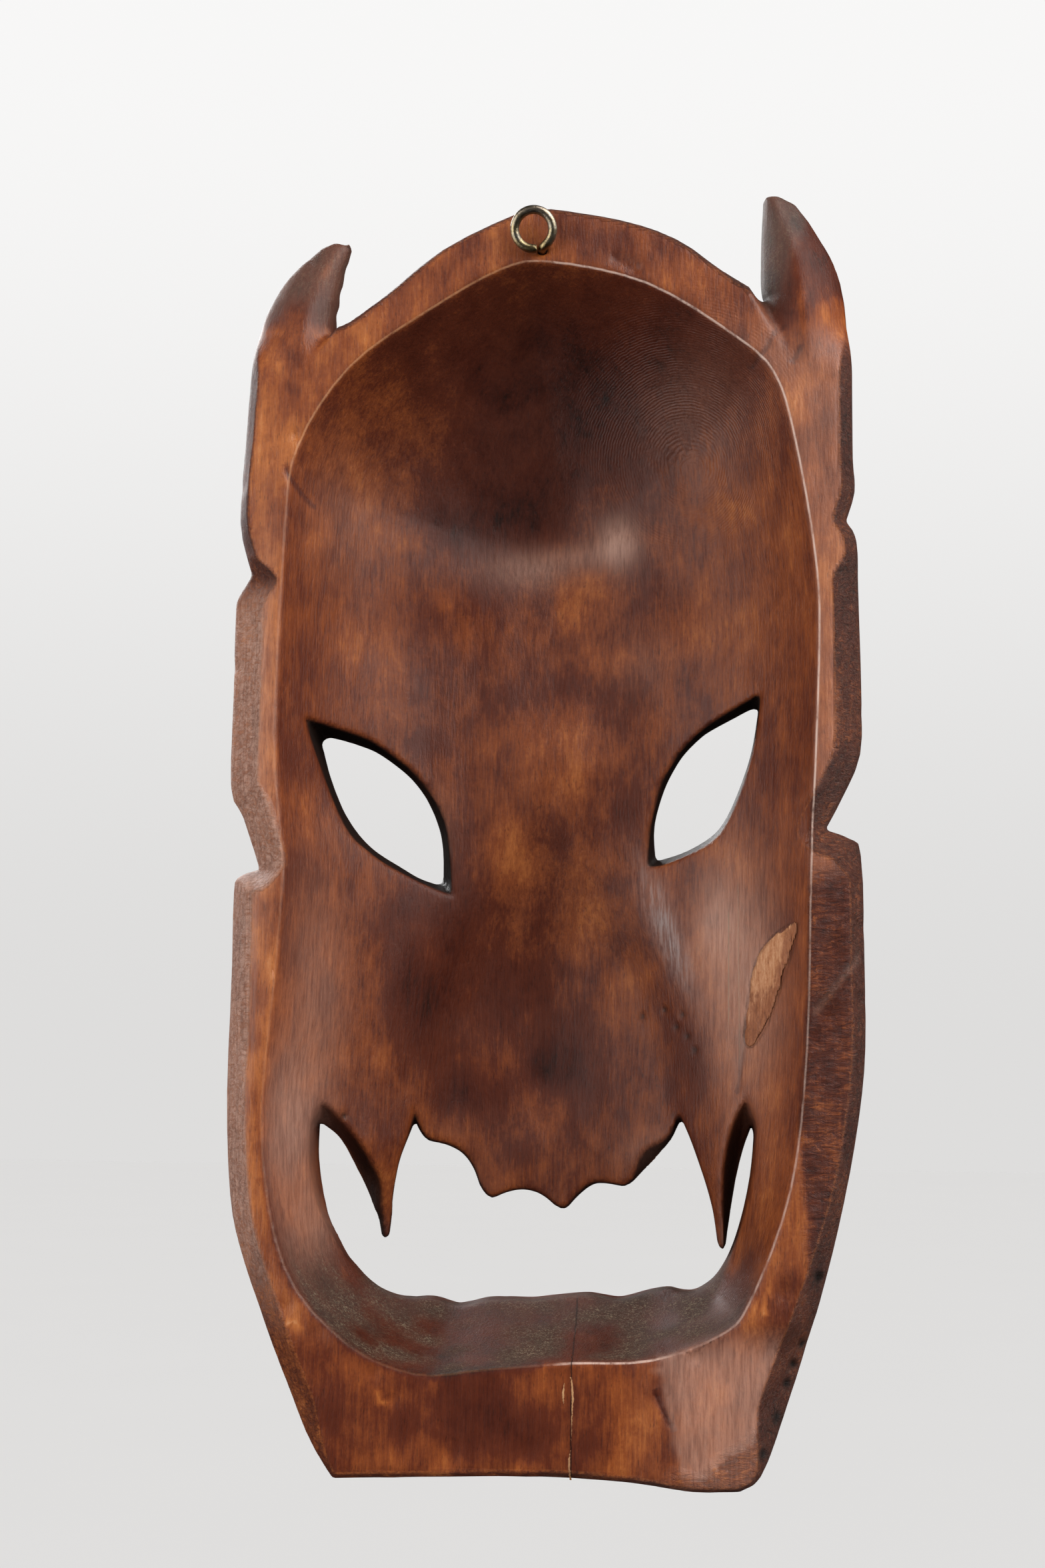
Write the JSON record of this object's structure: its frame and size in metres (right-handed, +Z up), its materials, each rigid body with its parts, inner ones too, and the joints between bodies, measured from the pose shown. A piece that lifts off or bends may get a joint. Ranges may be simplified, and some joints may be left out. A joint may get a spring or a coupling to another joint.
{
  "type": "carved wooden mask",
  "caption": "Horned demon mask carved from one wood block, hollow behind, with open eyes, fangs, open mouth and a hanging eye.",
  "frame": {"origin": "centre of the screw eye's ring at the top of the back", "axes": "+Z up towards the horns, the face looks along -Y and the hollow back opens along +Y"},
  "size_m": [0.1738, 0.0795, 0.3541],
  "materials": {
    "carved_wood": "stained dark reddish brown, satin varnish",
    "worn_brass": "worn brass plating over steel",
    "old_glue": "dull dried glue with wood dust",
    "wood_filler": "dull, rough"
  },
  "bodies": {
    "root": {"mask_body": "carved_wood", "screw_eye": "worn_brass", "chin_split_glue": "old_glue", "cheek_split_filler": "wood_filler"}
  },
  "joints": []
}
